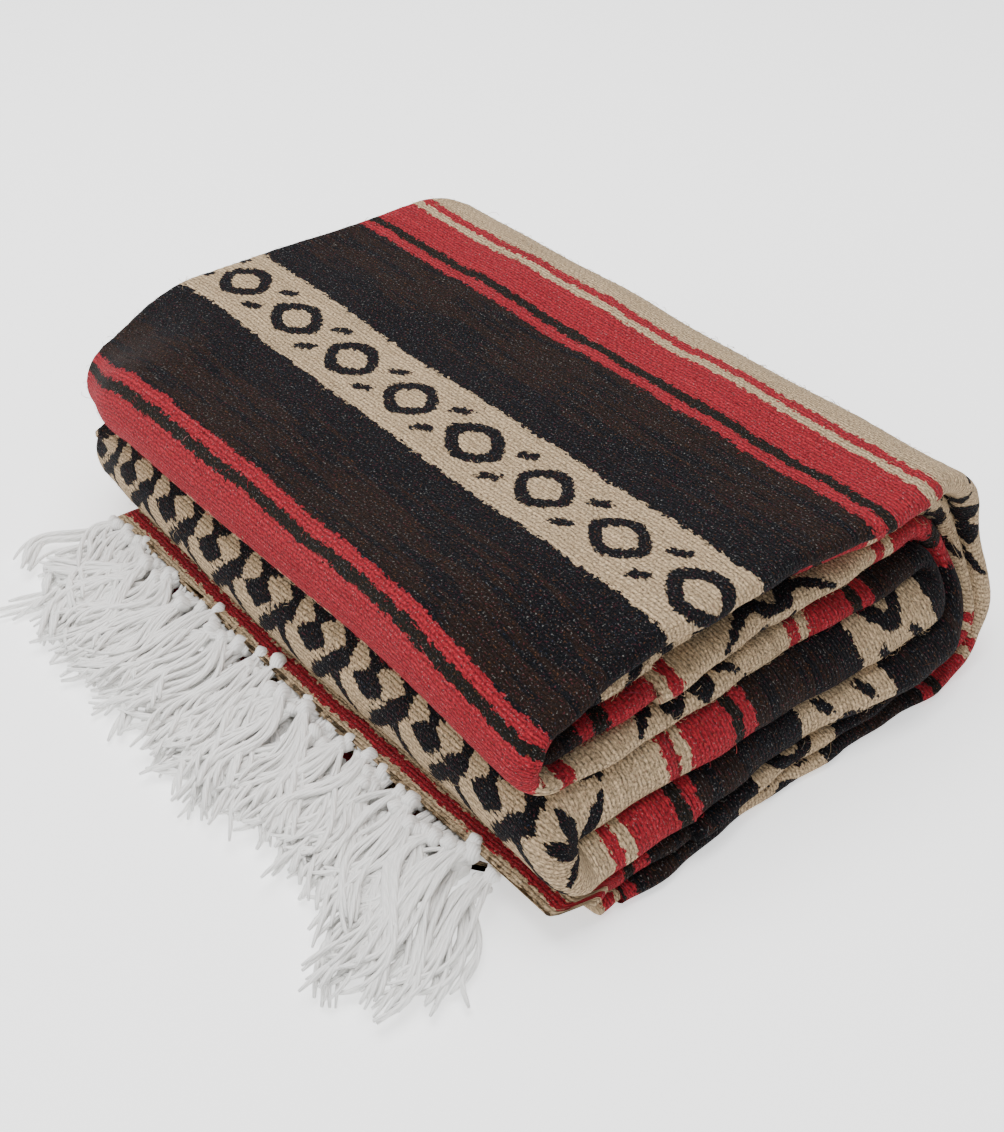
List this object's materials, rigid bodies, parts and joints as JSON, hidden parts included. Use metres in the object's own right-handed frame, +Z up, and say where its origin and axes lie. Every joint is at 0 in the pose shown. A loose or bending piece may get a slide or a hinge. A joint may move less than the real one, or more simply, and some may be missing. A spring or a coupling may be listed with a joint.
{
  "type": "folded woven blanket (mexican serape)",
  "caption": "Striped handwoven serape blanket with knotted cotton fringe, folded into a thick rectangular stack and lying flat.",
  "frame": {"origin": "under the middle of the whole object, fringe included, on the surface it lies on", "axes": "+X along the stripes towards the folded edges, +Y along the warp away from the fringe, +Z up"},
  "size_m": [0.3452, 0.3232, 0.0878],
  "materials": {
    "blanket_cloth": "coarse weft-faced blanket weave of recycled yarn, striped red, brown, black and tan, with a fuzzy nap",
    "layer_edges": "the same cloth at its folded and open edges inside the stack",
    "cotton_fringe": "soft plied white cotton warp, knotted"
  },
  "bodies": {
    "root": {"outer_wrap": "blanket_cloth", "centre_roll": "blanket_cloth", "upper_end": "blanket_cloth", "hidden_layers": "layer_edges", "edge_4_5": "layer_edges", "edge_3_6": "layer_edges", "edge_2_3": "layer_edges", "edge_2_7": "layer_edges", "upper_fringe": "cotton_fringe", "lower_fringe": "cotton_fringe"}
  },
  "joints": []
}
